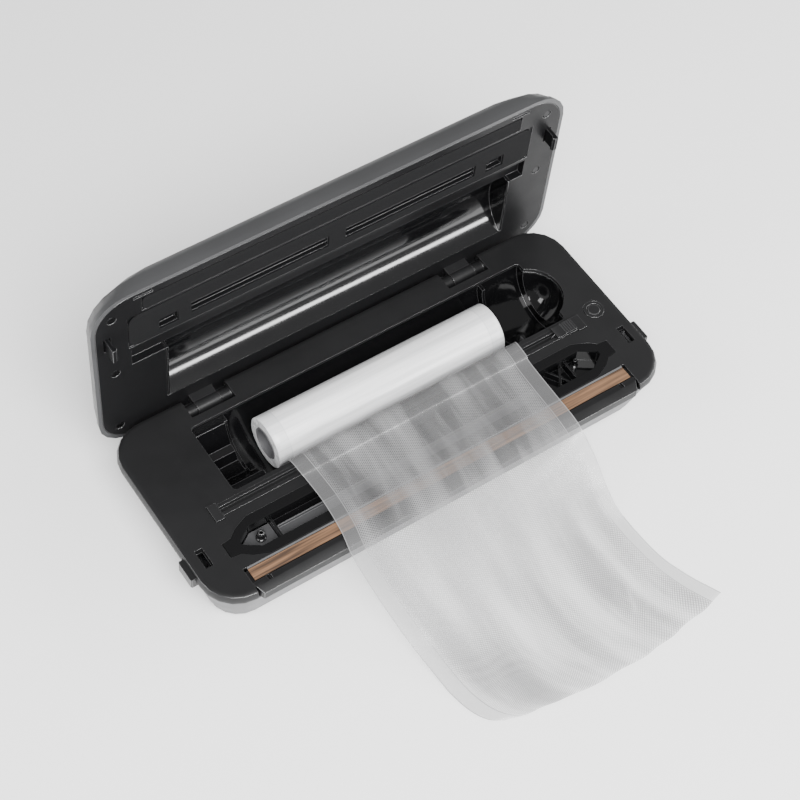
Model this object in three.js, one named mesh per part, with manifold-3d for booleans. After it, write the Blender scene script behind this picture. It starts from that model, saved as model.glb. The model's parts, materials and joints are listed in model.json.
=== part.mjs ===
// A household vacuum sealer with its lid open and a roll of bag film in its trough.
// Millimetres. +X is to the right, +Y is to the rear, +Z is up.
// The origin is the middle of the base's flat underside; the rubber feet stand a little below it.
import * as THREE from "three";
import { mergeVertices } from "three/addons/utils/BufferGeometryUtils.js";
import Module from "manifold-3d";

const wasm = await Module();
wasm.setup();

// ---------------------------------------------------------------- driving dimensions
const FIT = 0.3; // gap between pieces that touch
const SEG = 5; // straight steps in a quarter of a rounded corner

const BODY_WIDTH = 390;
const BODY_DEPTH = 166;
const DECK_TOP = 48; // height of the deck above the underside
const DECK_THICK = 3;
const DECK_SKIRT = 7.5; // height of the deck's rim
const CORNER_R = 29;
const RIM_ROUND = 4.5; // rounding of the deck's upper edge
const SHELL_WALL = 2.4;
const SHELL_INSET = 1.1; // step from the deck's rim to the lower shell
const SHELL_TAPER_SIDE = 9.5;
const SHELL_TAPER_FRONT = 10.4;
const SHELL_TAPER_REAR = 2.4;
const FOOT_R = 9;
const FOOT_STAND = 2.5;

const LID_OPEN_DEG = 87.9;
const LID_GAP = 2.1; // from the deck to the lid's lower face, lid closed
const LID_HEIGHT = 23.5; // lid's lower face to its top
const LID_ROUND = 18; // rounding of the lid's upper edge
const LID_WALL = 2.2;
const LID_LIP = 3.3; // width of the light lip around the inner panel
const LID_FRONT_OVERHANG = 2;
const PANEL_THICK = 2.5;
const HINGE_FROM_REAR = 8.2;
const HINGE_BELOW_DECK = 8.1;
const HINGE_BARREL_R = 6;
const PIN_R = 2;

const ROLL_WIDTH = 200; // the film's width
const ROLL_R = 20.4;
const ROLL_OFFSET = 7; // the roll lies a little right of the middle
const CORE_R = 13;
const CORE_BORE_R = 11.5;
const TROUGH_R = 31.3;
const TROUGH_WALL = 2;
const TROUGH_CENTRE_DROP = 4.8; // centre of the trough's round below the deck
const TROUGH_OPENING = 61.7;
const POCKET_R = 26;

const STRIP_WIDTH = 10; // heat-sealing tape
const RAIL_WIDTH = 10; // cutter rail
const GROOVE_WIDTH = 4.4; // slot along the cutter rail
const SLIDER_LENGTH = 17.6;
const LATCH_SLOT = { width: 5.9, length: 15.7 };
const LATCH_TRAVEL = 2.5;
const BUTTON_R = 5.1;
const BUTTON_TRAVEL = 1.2;
const FILM_THICK = 0.6;

// ---------------------------------------------------------------- places worked out from them
const W = BODY_WIDTH / 2;
const FRONT = -BODY_DEPTH / 2;
const REAR = BODY_DEPTH / 2;
const DECK_UNDER = DECK_TOP - DECK_THICK;
const RIM_BOTTOM = DECK_TOP - DECK_SKIRT;
const LID_FACE = DECK_TOP + LID_GAP;
const LID_TOP = LID_FACE + LID_HEIGHT;
const HINGE_Y = REAR - HINGE_FROM_REAR;
const HINGE_Z = DECK_TOP - HINGE_BELOW_DECK;
const STRIP_FRONT = FRONT + 9.9;
const STRIP_REAR = STRIP_FRONT + STRIP_WIDTH;
const STRIP_HALF = W - 32.9;
const GASKET_Y = FRONT + 39.9; // centre line of the vacuum chamber
const RAIL_Y0 = FRONT + 65.2;
const RAIL_Y1 = RAIL_Y0 + RAIL_WIDTH;
const TROUGH_Y0 = FRONT + 79.1;
const TROUGH_Y = TROUGH_Y0 + TROUGH_OPENING / 2;
const TROUGH_X0 = 58 - W;
const TROUGH_X1 = W - 41.8;
const TROUGH_Z = DECK_TOP - TROUGH_CENTRE_DROP;
const ROLL_X0 = ROLL_OFFSET - ROLL_WIDTH / 2;
const ROLL_X1 = ROLL_OFFSET + ROLL_WIDTH / 2;
const ROLL_Z = TROUGH_Z - TROUGH_R + ROLL_R + 2 * FIT;
const RAIL_X0 = 41.3 - W;
const RAIL_X1 = W - 40.3;
const LATCH_X = W - 12.05;
const LATCH_Y = FRONT + 43.05;
const WELL = {
  x0: W - 100.7,
  x1: W - 64.3,
  y0: HINGE_Y - HINGE_BARREL_R - 3.9,
  z0: HINGE_Z - HINGE_BARREL_R - 1.1,
};
const ARM = { x0: WELL.x0 + 8.7, x1: WELL.x1 - 8.4, y0: HINGE_Y - 4.8, y1: HINGE_Y + 0.6 };
const DECK_BUTTON = { x: W - 18.6, y: FRONT + 74.2 };

// ---------------------------------------------------------------- finishes
function finish(color, roughness, metalness = 0) {
  return () => new THREE.MeshStandardMaterial({ color, roughness, metalness });
}
const matteBlack = finish(0x2a2a2b, 0.6);
const glossBlack = finish(0x0c0c0d, 0.15);
const softBlack = finish(0x1b1b1c, 0.9);
const shellGrey = finish(0x7d7d80, 0.5);
const lidGrey = finish(0x5c5d5f, 0.5);
const partGrey = finish(0x6c6d70, 0.5);
const rubber = finish(0x151515, 0.95);
const steel = finish(0xb8babd, 0.3, 1);
const copperTape = finish(0xb08a6e, 0.5);
const boardGreen = finish(0x1f5a38, 0.6);
const clearWhite = finish(0xf2f2f2, 0.4);

// ---------------------------------------------------------------- shape helpers
function solidOf(geometry) {
  const bare = geometry.clone();
  bare.deleteAttribute("normal");
  bare.deleteAttribute("uv");
  const merged = mergeVertices(bare, 1e-4);
  const index = merged.index.array;
  const kept = [];
  for (let i = 0; i < index.length; i += 3) {
    const [a, b, c] = [index[i], index[i + 1], index[i + 2]];
    if (a !== b && b !== c && a !== c) kept.push(a, b, c);
  }
  return new wasm.Manifold(
    new wasm.Mesh({
      numProp: 3,
      vertProperties: merged.attributes.position.array,
      triVerts: new Uint32Array(kept),
    }),
  );
}

function geometryOf(solid) {
  const mesh = solid.getMesh();
  const geometry = new THREE.BufferGeometry();
  geometry.setAttribute("position", new THREE.BufferAttribute(mesh.vertProperties, 3));
  geometry.setIndex(new THREE.BufferAttribute(mesh.triVerts, 1));
  geometry.computeVertexNormals();
  return geometry;
}

function join(first, ...others) {
  return others.reduce((sum, other) => sum.add(other), first);
}

function cut(first, ...others) {
  return others.reduce((rest, other) => rest.subtract(other), first);
}

function block(x0, x1, y0, y1, z0, z1) {
  const box = new THREE.BoxGeometry(x1 - x0, y1 - y0, z1 - z0);
  return solidOf(box.translate((x0 + x1) / 2, (y0 + y1) / 2, (z0 + z1) / 2));
}

function polygon(points) {
  return new THREE.Shape(points.map(([x, y]) => new THREE.Vector2(x, y)));
}

function roundedRect(x0, x1, y0, y1, r) {
  const shape = new THREE.Shape();
  shape.absarc(x1 - r, y0 + r, r, -Math.PI / 2, 0, false);
  shape.absarc(x1 - r, y1 - r, r, 0, Math.PI / 2, false);
  shape.absarc(x0 + r, y1 - r, r, Math.PI / 2, Math.PI, false);
  shape.absarc(x0 + r, y0 + r, r, Math.PI, Math.PI * 1.5, false);
  return shape;
}

function extrude(shape, length, segments = SEG) {
  return new THREE.ExtrudeGeometry(shape, {
    depth: length,
    bevelEnabled: false,
    curveSegments: segments,
  });
}

// A plan outline (x, y) raised from z0 to z1.
function plate(shape, z0, z1, segments = SEG) {
  return solidOf(extrude(shape, z1 - z0, segments).translate(0, 0, z0));
}

// A side outline (y, z) drawn out from x0 to x1.
const ALONG_X = new THREE.Matrix4().makeBasis(
  new THREE.Vector3(0, 1, 0),
  new THREE.Vector3(0, 0, 1),
  new THREE.Vector3(1, 0, 0),
);
function bar(shape, x0, x1, segments = SEG) {
  return solidOf(extrude(shape, x1 - x0, segments).applyMatrix4(ALONG_X).translate(x0, 0, 0));
}

// A front outline (x, z) drawn back from y0 to y1.
const ALONG_Y = new THREE.Matrix4().makeBasis(
  new THREE.Vector3(1, 0, 0),
  new THREE.Vector3(0, 0, 1),
  new THREE.Vector3(0, -1, 0),
);
function slab(shape, y0, y1) {
  return solidOf(extrude(shape, y1 - y0).applyMatrix4(ALONG_Y).translate(0, y1, 0));
}

function rodX(r, x0, x1, y, z, sides = 24) {
  const rod = new THREE.CylinderGeometry(r, r, x1 - x0, sides).rotateZ(Math.PI / 2);
  return solidOf(rod.translate((x0 + x1) / 2, y, z));
}

function rodZ(r, x, y, z0, z1, sides = 20) {
  const rod = new THREE.CylinderGeometry(r, r, z1 - z0, sides).rotateX(Math.PI / 2);
  return solidOf(rod.translate(x, y, (z0 + z1) / 2));
}

function ball(r, x, y, z) {
  return solidOf(new THREE.SphereGeometry(r, 24, 14).rotateX(Math.PI / 2).translate(x, y, z));
}

// A ring of points round a rounded rectangle at height z, anticlockwise from above.
function ring(z, x0, x1, y0, y1, r) {
  const centres = [
    [x1 - r, y0 + r, -90],
    [x1 - r, y1 - r, 0],
    [x0 + r, y1 - r, 90],
    [x0 + r, y0 + r, 180],
  ];
  const points = [];
  for (const [cx, cy, start] of centres) {
    for (let step = 0; step <= SEG; step++) {
      const turn = THREE.MathUtils.degToRad(start + (90 * step) / SEG);
      points.push([cx + r * Math.cos(turn), cy + r * Math.sin(turn), z]);
    }
  }
  return points;
}

// A closed solid through a stack of rings, lowest first.
function loft(rings) {
  const count = rings[0].length;
  const index = [];
  for (let level = 0; level + 1 < rings.length; level++) {
    for (let i = 0; i < count; i++) {
      const a = level * count + i;
      const b = level * count + ((i + 1) % count);
      index.push(a, b, b + count, a, b + count, a + count);
    }
  }
  const top = (rings.length - 1) * count;
  for (let i = 1; i + 1 < count; i++) {
    index.push(0, i + 1, i, top, top + i, top + i + 1);
  }
  const geometry = new THREE.BufferGeometry();
  geometry.setAttribute("position", new THREE.Float32BufferAttribute(rings.flat(2), 3));
  geometry.setIndex(index);
  return solidOf(geometry);
}

// The two mirror-image places of a piece that the machine has on both sides.
const SIDES = [
  ["left", -1],
  ["right", 1],
];

// x0 and x1 mirrored to one side, in rising order.
function span(side, x0, x1) {
  return side > 0 ? [x0, x1] : [-x1, -x0];
}

function pair(shapeOf) {
  return SIDES.map(([, side]) => shapeOf(side));
}

// ---------------------------------------------------------------- assembly tree
const machine = new THREE.Group();
const lid = new THREE.Group(); // pieces are drawn with the lid closed, then the group opens it
const lidPivot = new THREE.Group();
lidPivot.position.set(0, HINGE_Y, HINGE_Z);
lidPivot.rotation.x = -THREE.MathUtils.degToRad(LID_OPEN_DEG);
lid.position.set(0, -HINGE_Y, -HINGE_Z);
lidPivot.add(lid);
machine.add(lidPivot);

function add(parent, name, solid, material) {
  const mesh = new THREE.Mesh(geometryOf(solid), material());
  mesh.name = name;
  parent.add(mesh);
}

// ---------------------------------------------------------------- outlines shared by several pieces
// The vacuum chamber's long outline with pointed ends; grow moves every edge outwards.
const GASKET_OUT = { tip: W - 28.3, tipHalf: 5.9, neck: W - 35.9, shoulder: W - 50.6, half: 16.7 };
const GASKET_IN = { tip: W - 39.7, tipHalf: 1.7, shoulder: W - 51.8, half: 9.7 };

function gasketOutline(grow) {
  const g = GASKET_OUT;
  const shape = new THREE.Shape();
  const corner = (sx, sy) => {
    const tab = [sx * (g.tip + grow), GASKET_Y + sy * (g.tipHalf + grow)];
    const neck = [sx * g.neck, GASKET_Y + sy * (g.tipHalf + 0.9 + grow)];
    const bend = [sx * (g.neck - 6), GASKET_Y + sy * (g.half - 5 + grow)];
    const shoulder = [sx * (g.shoulder - 3), GASKET_Y + sy * (g.half + grow)];
    return [tab, neck, bend, shoulder];
  };
  const walk = [
    ...corner(1, -1).reverse(),
    ...corner(1, 1),
    ...corner(-1, 1).reverse(),
    ...corner(-1, -1),
  ];
  walk.forEach(([x, y], i) => (i ? shape.lineTo(x, y) : shape.moveTo(x, y)));
  shape.closePath();
  return shape;
}

function chamberOutline(grow) {
  const g = GASKET_IN;
  const quarter = (sx, sy) => [
    [sx * (g.tip + grow), GASKET_Y + sy * (g.tipHalf + grow / 2)],
    [sx * g.shoulder, GASKET_Y + sy * (g.half + grow)],
  ];
  return polygon([
    ...quarter(1, -1).reverse(),
    ...quarter(1, 1),
    ...quarter(-1, 1).reverse(),
    ...quarter(-1, -1),
  ]);
}

function troughPlan(grow, z0, z1) {
  const x0 = TROUGH_X0 - grow;
  const x1 = TROUGH_X1 + grow;
  const y1 = TROUGH_Y0 + TROUGH_OPENING + grow;
  return join(
    plate(roundedRect(x0, x1, TROUGH_Y0 - grow, y1, 3.5), z0, z1),
    rodZ(POCKET_R + grow, TROUGH_X1 - 10.7, TROUGH_Y, z0, z1, 32),
  );
}

// ---------------------------------------------------------------- base: shell, deck, trough
const SHELL_TOP = RIM_BOTTOM - FIT;
const FLOOR_EDGE = 2.5; // height of the lower shell's bottom edge rounding
const FEET = [
  [-1, -1],
  [1, -1],
  [-1, 1],
  [1, 1],
];
const FOOT_X = W - 33;
const FOOT_FRONT_Y = FRONT + 31;
const FOOT_REAR_Y = REAR - 22;
const POST_X = W - 23;
const POST_FRONT_Y = FRONT + 25;
const POST_REAR_Y = REAR - 17;
const POST_TOP = 12; // where the shell's posts meet the deck's
const LATCH_WINDOW = { y0: LATCH_Y - 9.5, y1: LATCH_Y + 9.5, z0: 33.5, z1: 44.6 };
const BAR_HALF = W - 30.5;
const BAR_FRONT = FRONT - 1;
const BAR_BOTTOM = 37;
const INLET = { x: 52 - W, z: 18, width: 24, height: 14 };

function shellBody(inset) {
  const low = FLOOR_EDGE + inset;
  const side = (z) => {
    const down = (SHELL_TOP - z) / (SHELL_TOP - FLOOR_EDGE);
    const x = W - SHELL_INSET - SHELL_TAPER_SIDE * down - inset;
    const y0 = FRONT + SHELL_INSET + SHELL_TAPER_FRONT * down + inset;
    const y1 = REAR - SHELL_INSET - SHELL_TAPER_REAR * down - inset;
    return ring(z, -x, x, y0, y1, CORNER_R - SHELL_INSET - 5 * down - inset);
  };
  const down = side(low).map(([x, y]) => [x * 0.98, y * 0.955, inset]);
  return loft([down, side(low), side(SHELL_TOP + inset)]);
}

function footPlace([sx, sy]) {
  return [sx * FOOT_X, sy > 0 ? FOOT_REAR_Y : FOOT_FRONT_Y];
}

function postPlace([sx, sy]) {
  return [sx * POST_X, sy > 0 ? POST_REAR_Y : POST_FRONT_Y];
}

function latchWindows() {
  const w = LATCH_WINDOW;
  return pair((side) => block(...span(side, W - 12, W + 5), w.y0, w.y1, w.z0, w.z1));
}

function wellCuts(grow) {
  return pair((side) =>
    block(...span(side, WELL.x0 - grow, WELL.x1 + grow), WELL.y0, REAR + 9, WELL.z0 - grow, DECK_TOP + 9),
  );
}

function baseShell() {
  const hollow = cut(shellBody(0), shellBody(SHELL_WALL));
  const posts = FEET.map(postPlace).map(([x, y]) => rodZ(5, x, y, SHELL_WALL - 0.5, POST_TOP, 16));
  const inlet = INLET;
  return cut(
    join(hollow, ...posts),
    ...latchWindows(),
    ...wellCuts(2.2),
    block(-BAR_HALF - FIT, BAR_HALF + FIT, FRONT - 5, FRONT + 8, BAR_BOTTOM - FIT, DECK_TOP),
    ...FEET.map(footPlace).map(([x, y]) => rodZ(FOOT_R + FIT, x, y, -1, 1 + FIT)),
    block(
      inlet.x - inlet.width / 2 - FIT,
      inlet.x + inlet.width / 2 + FIT,
      REAR - 9,
      REAR + 2,
      inlet.z - inlet.height / 2 - FIT,
      inlet.z + inlet.height / 2 + FIT,
    ),
  );
}

function deckBody() {
  const outer = (z, inset) => ring(z, -W + inset, W - inset, FRONT + inset, REAR - inset, CORNER_R - inset);
  const body = loft([
    outer(RIM_BOTTOM, 0),
    outer(DECK_TOP - RIM_ROUND, 0),
    outer(DECK_TOP - RIM_ROUND * 0.29, RIM_ROUND * 0.29),
    outer(DECK_TOP, RIM_ROUND),
  ]);
  return cut(body, loft([outer(RIM_BOTTOM - 1, 2.5), outer(DECK_UNDER, 3.2)]));
}

// The pocket under the deck that one of the lid's hinge arms turns in, with its two knuckles.
function hingeWell(side) {
  const wall = 1.8;
  const back = HINGE_Y + 4;
  const floor = WELL.z0;
  const outer = span(side, WELL.x0 - wall, WELL.x1 + wall);
  const pocket = cut(
    block(...outer, WELL.y0 - wall, back, floor - wall, DECK_UNDER + 1),
    block(...span(side, WELL.x0, WELL.x1), WELL.y0, back + 1, floor, DECK_TOP),
  );
  const knuckle = (x0, x1) =>
    join(
      rodX(5.5, ...span(side, x0, x1), HINGE_Y, HINGE_Z),
      block(...span(side, x0, x1), HINGE_Y - 5, back, floor - 0.5, HINGE_Z),
    );
  return join(
    pocket,
    knuckle(WELL.x0 - 0.5, ARM.x0 - FIT),
    knuckle(ARM.x1 + FIT, WELL.x1 + 0.5),
  );
}

function pinBore(side, grow) {
  const x0 = WELL.x0 + 0.3 - grow;
  const x1 = WELL.x1 - 0.3 + grow;
  return rodX(PIN_R + grow, ...span(side, x0, x1), HINGE_Y, HINGE_Z, 16);
}

const STRIP_BED = { y0: FRONT - 5, y1: STRIP_REAR + 1.7 };
const RAIL_CAP = { x0: 34 - W, x1: RAIL_X0 - FIT, y0: RAIL_Y0 - 2.3, y1: RAIL_Y1 + 1.9 };
const RAIL_END = { x0: RAIL_X1 + FIT, x1: W - 32.7, y0: RAIL_Y0 - 1.5, y1: RAIL_Y1 + 1.3 };

function deck() {
  const slotX = LATCH_SLOT.width / 2;
  const slotY = LATCH_SLOT.length / 2;
  const railSlot = [RAIL_CAP, RAIL_END].map((end) =>
    block(end.x0 - FIT, end.x1 + FIT, end.y0 - FIT, end.y1 + FIT, 40, 50),
  );
  const openings = [
    troughPlan(0, DECK_UNDER - 2, DECK_TOP + 1),
    plate(gasketOutline(FIT), 40, 50),
    block(RAIL_X0 - 1, RAIL_X1 + 1, RAIL_Y0 - FIT, RAIL_Y1 + FIT, 40, 50),
    ...railSlot,
    block(-BAR_HALF - FIT, BAR_HALF + FIT, STRIP_BED.y0, STRIP_BED.y1, 30, 50),
    rodZ(8.15, DECK_BUTTON.x, DECK_BUTTON.y, 40, 50, 32),
    ...pair((side) =>
      block(...span(side, LATCH_X - slotX, LATCH_X + slotX), LATCH_Y - slotY, LATCH_Y + slotY, 40, 50),
    ),
    ...wellCuts(0),
    ...latchWindows(),
  ];
  const posts = FEET.map(postPlace).map(([x, y]) => rodZ(4.5, x, y, POST_TOP + FIT, DECK_UNDER + 1, 16));
  return cut(
    join(cut(deckBody(), ...openings), ...pair(hingeWell), ...posts),
    ...pair((side) => pinBore(side, FIT)),
  );
}

// Half a tube under the deck, closed at both ends, with a round scoop at the right end,
// a stepped rest at the left end, and a round rib near each end of the roll.
const CRADLE_X1 = ROLL_X0 - 19;
const STOP_X0 = ROLL_X1 + 9;
const RIB_WIDTH = 2.6;
const RIB_INNER_R = TROUGH_R - 6.5;

function troughRib(x0, x1) {
  return cut(
    rodX(TROUGH_R + 0.5, x0, x1, TROUGH_Y, TROUGH_Z, 48),
    rodX(RIB_INNER_R, x0 - 1, x1 + 1, TROUGH_Y, TROUGH_Z, 48),
  );
}

function rollRest() {
  const steps = polygon([
    [TROUGH_Y + 40, TROUGH_Z + 9],
    [TROUGH_Y + 24, TROUGH_Z + 2],
    [TROUGH_Y + 16, TROUGH_Z - 16],
    [TROUGH_Y + 10, TROUGH_Z - 17.5],
    [TROUGH_Y + 6, TROUGH_Z - 24],
    [TROUGH_Y - 5, TROUGH_Z - 24],
    [TROUGH_Y - 25, TROUGH_Z + 2],
    [TROUGH_Y - 40, TROUGH_Z + 9],
    [TROUGH_Y - 40, TROUGH_Z + 40],
    [TROUGH_Y + 40, TROUGH_Z + 40],
  ]);
  const x0 = TROUGH_X0 - 0.5;
  const rest = cut(
    rodX(TROUGH_R + 0.5, x0, CRADLE_X1, TROUGH_Y, TROUGH_Z, 48),
    bar(steps, x0 - 1, CRADLE_X1 + 1),
  );
  return join(rest, troughRib(CRADLE_X1 - 0.5, CRADLE_X1 + RIB_WIDTH));
}

function rollTrough() {
  const scoop = TROUGH_X1 - 10.7;
  const wall = TROUGH_WALL;
  const outer = join(
    rodX(TROUGH_R + wall, TROUGH_X0 - wall, TROUGH_X1 + wall, TROUGH_Y, TROUGH_Z, 48),
    ball(POCKET_R + wall, scoop, TROUGH_Y, TROUGH_Z),
  );
  const inner = join(
    rodX(TROUGH_R, TROUGH_X0, TROUGH_X1, TROUGH_Y, TROUGH_Z, 48),
    ball(POCKET_R, scoop, TROUGH_Y, TROUGH_Z),
    troughPlan(-0.2, TROUGH_Z, DECK_TOP),
  );
  const above = block(-W, W, FRONT, REAR, DECK_UNDER - FIT, DECK_TOP + 40);
  const fittings = join(rollRest(), troughRib(STOP_X0, STOP_X0 + RIB_WIDTH));
  return cut(join(cut(outer, inner), fittings), above);
}

// ---------------------------------------------------------------- base: sealing bar and vacuum chamber
const SEAT_TOP = 46.4;
const CHAMBER_FLOOR = 36;
const CHAMBER_BOTTOM = 34;

function heaterBar() {
  const section = polygon([
    [BAR_FRONT, BAR_BOTTOM],
    [STRIP_REAR - FIT, BAR_BOTTOM + 1],
    [STRIP_REAR - FIT, SEAT_TOP],
    [STRIP_FRONT - 0.8, SEAT_TOP],
    [STRIP_FRONT - 0.8, DECK_TOP - 0.5],
    [FRONT + 4.5, DECK_TOP - 0.7],
    [BAR_FRONT, DECK_TOP - 3.4],
  ]);
  const plan = polygon([
    [-BAR_HALF, STRIP_REAR],
    [-BAR_HALF, FRONT + 6.5],
    [-BAR_HALF + 4.5, FRONT - 3],
    [BAR_HALF - 4.5, FRONT - 3],
    [BAR_HALF, FRONT + 6.5],
    [BAR_HALF, STRIP_REAR],
  ]);
  const notches = pair((side) => {
    const [x0, x1] = span(side, BAR_HALF - 14, BAR_HALF - 11);
    return block(x0, x1, FRONT + 5.5, STRIP_FRONT + 1, SEAT_TOP - 2, DECK_TOP);
  });
  return cut(bar(section, -BAR_HALF - 1, BAR_HALF + 1).intersect(plate(plan, 30, 50)), ...notches);
}

// One closed ring of soft foam.
function lowerGasket() {
  const z0 = DECK_TOP - 1.5;
  return cut(plate(gasketOutline(0), z0, DECK_TOP + 0.5), plate(chamberOutline(0), z0 - 1, DECK_TOP + 1));
}

const DIVIDER_LEFT = 68 - W;
const DIVIDER_RIGHT = W - 65.3;
const BRACE_X = DIVIDER_RIGHT - 9.4;

function vacuumChamber() {
  const rim = DECK_TOP - 1.5 - FIT;
  const tub = cut(
    plate(gasketOutline(0), CHAMBER_BOTTOM, rim),
    plate(chamberOutline(0.4), CHAMBER_FLOOR, rim + 1),
  );
  const wall = (x) => block(x, x + 1.6, GASKET_Y - 9.9, GASKET_Y + 9.9, CHAMBER_FLOOR - 0.5, rim - 2.5);
  // A crossed brace beside the right divider.
  const brace = [1, -1].map((slope) =>
    plate(
      polygon([
        [BRACE_X - 0.8 - slope * 6, GASKET_Y + 9.9],
        [BRACE_X - 0.8 + slope * 6, GASKET_Y - 9.9],
        [BRACE_X + 0.8 + slope * 6, GASKET_Y - 9.9],
        [BRACE_X + 0.8 - slope * 6, GASKET_Y + 9.9],
      ]),
      CHAMBER_FLOOR - 0.5,
      rim - 4,
    ),
  );
  const vent = nozzle(VENT, 2.1, CHAMBER_FLOOR - 0.5, DECK_TOP - 5);
  return cut(
    join(tub, wall(DIVIDER_LEFT), wall(DIVIDER_RIGHT), ...brace, vent),
    rodZ(1.6, NOZZLE.x, NOZZLE.y, CHAMBER_BOTTOM - 1, CHAMBER_FLOOR + 1, 12),
  );
}

const NOZZLE = { x: 57 - W, y: GASKET_Y + 1.5 };
const VENT = { x: W - 56, y: GASKET_Y + 6.4 };

function nozzle(place, r, z0, top) {
  const profile = [
    [0, z0],
    [r * 1.35, z0],
    [r * 1.35, z0 + 1.6],
    [r, z0 + 2.2],
    [r, top - 1],
    [r * 0.7, top],
    [r * 0.4, top],
    [r * 0.4, z0 + 3],
    [0, z0 + 3],
  ].map(([x, y]) => new THREE.Vector2(x, y));
  const lathe = new THREE.LatheGeometry(profile, 16).rotateX(Math.PI / 2);
  return solidOf(lathe.translate(place.x, place.y, 0));
}

function intakePlate() {
  const grow = -FIT;
  return plate(chamberOutline(grow), CHAMBER_FLOOR + FIT, CHAMBER_FLOOR + 1 + FIT).intersect(
    block(-W, DIVIDER_LEFT - FIT, FRONT, REAR, 0, DECK_TOP),
  );
}

const DRIP_TRAY = { x0: DIVIDER_LEFT + 2.2, x1: W - 97, y0: GASKET_Y - 6.6, y1: GASKET_Y + 3.2 };

function dripTray() {
  const t = DRIP_TRAY;
  const z0 = CHAMBER_FLOOR + FIT;
  return cut(
    plate(roundedRect(t.x0, t.x1, t.y0, t.y1, 2), z0, z0 + 4.2, 3),
    plate(roundedRect(t.x0 + 1, t.x1 - 1, t.y0 + 1, t.y1 - 1, 1.2), z0 + 1.2, z0 + 6, 3),
  );
}

// ---------------------------------------------------------------- base: cutter
function cutterRail() {
  const middle = (RAIL_Y0 + RAIL_Y1) / 2 + 0.2;
  const half = GROOVE_WIDTH / 2;
  const top = DECK_TOP + 0.4;
  return bar(
    polygon([
      [RAIL_Y0, DECK_TOP - 5],
      [RAIL_Y1, DECK_TOP - 5],
      [RAIL_Y1, top],
      [middle + half, top],
      [middle + half, DECK_TOP - 3.2],
      [middle - half, DECK_TOP - 3.2],
      [middle - half, top],
      [RAIL_Y0, top],
    ]),
    RAIL_X0,
    RAIL_X1,
  );
}

function railEnd(end) {
  return block(end.x0, end.x1, end.y0, end.y1, DECK_TOP - 5, DECK_TOP + 0.9);
}

const SLIDER = { x1: RAIL_X1 - 0.6, z0: DECK_TOP + 0.4 + FIT, top: DECK_TOP + 2.8 };

// A low saddle with a thumb ramp and grip ribs, running on a tongue in the rail's slot.
function cutterSlider() {
  const x0 = SLIDER.x1 - SLIDER_LENGTH;
  const top = SLIDER.top;
  const saddle = new THREE.Shape();
  saddle.moveTo(x0, SLIDER.z0);
  saddle.lineTo(SLIDER.x1, SLIDER.z0);
  saddle.lineTo(SLIDER.x1, top - 0.5);
  for (let rib = 0; rib < 5; rib++) {
    const x = SLIDER.x1 - 1 - rib * 1.9;
    saddle.lineTo(x, top - 0.5);
    saddle.lineTo(x, top);
    saddle.lineTo(x - 0.9, top);
    saddle.lineTo(x - 0.9, top - 0.5);
  }
  saddle.quadraticCurveTo(x0 + 4, top - 2.1, x0, top - 0.4);
  const middle = (RAIL_Y0 + RAIL_Y1) / 2 + 0.2;
  const tongue = GROOVE_WIDTH / 2 - FIT;
  const body = join(
    slab(saddle, RAIL_Y0 + 0.5, RAIL_Y1 + 0.7),
    block(x0 + 1, SLIDER.x1, middle - tongue, middle + tongue, DECK_TOP - 2.6, SLIDER.z0 + 0.5),
  );
  return cut(body, block(x0 - 1, x0 + 7, middle - 0.6, middle + 0.6, DECK_TOP - 4, SLIDER.z0 + 0.8));
}

// A small pointed blade held in the slider's tongue, edge to the left.
function cutterBlade() {
  const x0 = SLIDER.x1 - SLIDER_LENGTH;
  const middle = (RAIL_Y0 + RAIL_Y1) / 2 + 0.2;
  return slab(
    polygon([
      [x0 - 2.4, DECK_TOP - 2.4],
      [x0 + 6.4, DECK_TOP - 2.4],
      [x0 + 6.4, DECK_TOP + 0.9],
      [x0 + 0.2, DECK_TOP + 0.9],
    ]),
    middle - 0.25,
    middle + 0.25,
  );
}

// ---------------------------------------------------------------- base: latches and button
// The pad that a finger presses and the plate that it carries round the lid's hook.
function latchButton(side) {
  const pad = plate(
    polygon([
      [W - 4, LATCH_Y - 9],
      [W + 2.8, LATCH_Y - 9],
      [W + 3.6, LATCH_Y - 8],
      [W + 3.6, LATCH_Y + 8],
      [W + 2.8, LATCH_Y + 9],
      [W - 4, LATCH_Y + 9],
    ].map(([x, y]) => [side * x, y])),
    LATCH_WINDOW.z0 + FIT + 0.2,
    LATCH_WINDOW.z1 - FIT - 0.3,
  );
  const plateZ = [DECK_UNDER - 3.8, DECK_UNDER - 1.8];
  const carrier = cut(
    block(...span(side, LATCH_X - 6.4, W - 3.8), LATCH_Y - 9, LATCH_Y + 9, ...plateZ),
    block(...span(side, LATCH_X - 2.65, LATCH_X + 2.4 + LATCH_TRAVEL), LATCH_Y - 7.4, LATCH_Y + 7.4, 30, 50),
  );
  return join(pad, carrier);
}

function latchSwitch(side) {
  const body = block(...span(side, LATCH_X - 6, LATCH_X + 4), LATCH_Y + 10.5, LATCH_Y + 16.5, 33, 42);
  const nub = block(...span(side, LATCH_X - 3, LATCH_X - 1), LATCH_Y + 9.6, LATCH_Y + 11, 35, 39);
  return join(body, nub);
}

const BUTTON_FOOT = DECK_TOP - 6;

function deckButton() {
  const profile = [
    [0, BUTTON_FOOT],
    [3, BUTTON_FOOT],
    [3, DECK_TOP - 3],
    [BUTTON_R, DECK_TOP - 2.6],
    [BUTTON_R, DECK_TOP - 0.1],
    [BUTTON_R - 0.6, DECK_TOP + 0.3],
    [0, DECK_TOP + 0.3],
  ].map(([x, y]) => new THREE.Vector2(x, y));
  const lathe = new THREE.LatheGeometry(profile, 28).rotateX(Math.PI / 2);
  return solidOf(lathe.translate(DECK_BUTTON.x, DECK_BUTTON.y, 0));
}

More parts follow.
